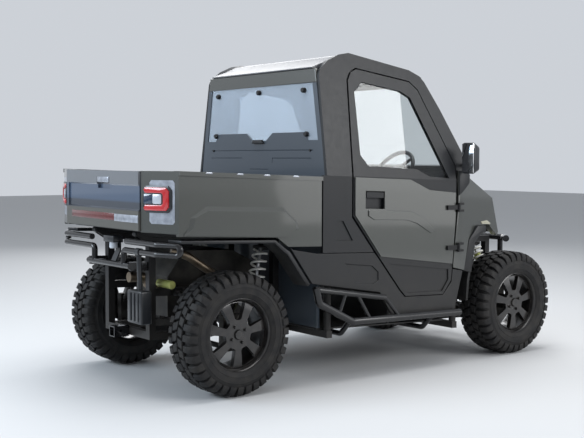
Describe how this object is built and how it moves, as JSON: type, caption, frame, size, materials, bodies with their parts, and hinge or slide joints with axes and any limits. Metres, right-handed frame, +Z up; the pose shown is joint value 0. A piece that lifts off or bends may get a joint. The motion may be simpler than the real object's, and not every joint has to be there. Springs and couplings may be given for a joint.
{
  "type": "side-by-side utility vehicle",
  "caption": "Side-by-side utility vehicle with a closed cab, tipping cargo bed with tailgate, lugged tyres, tube bumpers and step bars.",
  "frame": {"origin": "on the ground under the middle of the vehicle's length and width", "axes": "+X towards the front, +Y to the vehicle's left, +Z up"},
  "size_m": [3.226, 1.75, 2.0055],
  "materials": {
    "black_plastic": "grained black",
    "black_steel": "satin black",
    "cast": "rough",
    "damper": "satin white",
    "exhaust": "heat stained",
    "glass": "clear",
    "grip": "matt",
    "lamp_clear": "clear",
    "lamp_red": "clear red",
    "paint": "gloss dark olive grey",
    "rim": "satin black",
    "roof": "gloss black",
    "seat": "matt vinyl",
    "tyre": "matt, dusty"
  },
  "bodies": {
    "chassis": {"body_hinges": "black_steel", "cab_cage": "black_steel", "cowl": "black_plastic", "dampers": "damper", "dash": "black_plastic", "drive": "cast", "exhaust": "exhaust", "fenders": "paint", "floor_tub": "black_plastic", "frame": "black_steel", "front_arms": "black_steel", "front_bumper": "black_steel", "headlamps": "lamp_clear", "mirrors": "black_plastic", "nose": "black_plastic", "quarter_panels": "black_plastic", "rear_arms": "black_steel", "rear_bumper": "black_steel", "rear_header": "paint", "rear_hubs": "cast", "rear_panel": "black_plastic", "rear_window": "glass", "roof": "roof", "seats": "seat", "sill_panels": "black_plastic", "step_bars": "black_steel", "windscreen": "glass"},
    "bed": {"bed_tub": "black_plastic", "bed_sides": "paint", "tail_lamps": "lamp_red"},
    "tailgate": {"tailgate": "paint"},
    "hood": {"hood": "paint"},
    "steering_wheel": {"steering_wheel": "grip"},
    "steering_rack": {"steering_rack": "black_steel"},
    "knuckle_left": {"knuckle_left": "cast"},
    "knuckle_right": {"knuckle_right": "cast"},
    "door_left": {"door_left": "black_plastic", "door_skin_left": "paint", "door_glass_left": "glass", "door_hinges_left": "black_steel"},
    "wheel_rear_left": {"tyre_rear_left": "tyre", "rim_rear_left": "rim"},
    "wheel_front_left": {"tyre_front_left": "tyre", "rim_front_left": "rim"},
    "door_right": {"door_right": "black_plastic", "door_skin_right": "paint", "door_glass_right": "glass", "door_hinges_right": "black_steel"},
    "wheel_rear_right": {"tyre_rear_right": "tyre", "rim_rear_right": "rim"},
    "wheel_front_right": {"tyre_front_right": "tyre", "rim_front_right": "rim"}
  },
  "joints": [
    {"name": "door_left_swing", "type": "hinge", "parent": "chassis", "child": "door_left", "pos_m": [0.637, 0.73, 0.89269], "axis": [0, 0, -1], "range_deg": [0, 70]},
    {"name": "steer_left", "type": "hinge", "parent": "chassis", "child": "knuckle_left", "pos_m": [1.193, 0.575, 0.355], "axis": [0, 0, 1], "range_deg": [-30, 30]},
    {"name": "spin_rear_left", "type": "hinge", "parent": "chassis", "child": "wheel_rear_left", "pos_m": [-1.115, 0.615, 0.355], "axis": [0, 1, 0], "continuous": true},
    {"name": "spin_front_left", "type": "hinge", "parent": "knuckle_left", "child": "wheel_front_left", "pos_m": [1.193, 0.644, 0.355], "axis": [0, 1, 0], "continuous": true},
    {"name": "door_right_swing", "type": "hinge", "parent": "chassis", "child": "door_right", "pos_m": [0.637, -0.73, 0.89269], "axis": [0, 0, 1], "range_deg": [0, 70]},
    {"name": "steer_right", "type": "hinge", "parent": "chassis", "child": "knuckle_right", "pos_m": [1.193, -0.575, 0.355], "axis": [0, 0, 1], "range_deg": [-30, 30]},
    {"name": "spin_rear_right", "type": "hinge", "parent": "chassis", "child": "wheel_rear_right", "pos_m": [-1.115, -0.615, 0.355], "axis": [0, 1, 0], "continuous": true},
    {"name": "spin_front_right", "type": "hinge", "parent": "knuckle_right", "child": "wheel_front_right", "pos_m": [1.193, -0.644, 0.355], "axis": [0, 1, 0], "continuous": true},
    {"name": "bed_tip", "type": "hinge", "parent": "chassis", "child": "bed", "pos_m": [-1.515, 0, 0.91737], "axis": [0, -1, 0], "range_deg": [0, 40]},
    {"name": "tailgate_drop", "type": "hinge", "parent": "bed", "child": "tailgate", "pos_m": [-1.5905, 0, 0.96327], "axis": [0, -1, 0], "range_deg": [0, 90]},
    {"name": "hood_lift", "type": "hinge", "parent": "chassis", "child": "hood", "pos_m": [1.131, 0, 1.01172], "axis": [0, 1, 0], "range_deg": [0, 70]},
    {"name": "steering_wheel_turn", "type": "hinge", "parent": "chassis", "child": "steering_wheel", "pos_m": [0.41, -0.33, 1.26142], "axis": [-0.8192, 0, 0.5736], "range_deg": [-270, 270]},
    {"name": "rack_slide", "type": "slide", "parent": "chassis", "child": "steering_rack", "axis": [0, 1, 0], "range_m": [-0.058, 0.058]}
  ],
  "couplings": [
    {"joint": "steer_right", "follows": "steer_left", "ratio": 1},
    {"joint": "steering_wheel_turn", "follows": "steer_left", "ratio": 9},
    {"joint": "rack_slide", "follows": "steer_left", "m_per_rad": -0.11}
  ]
}
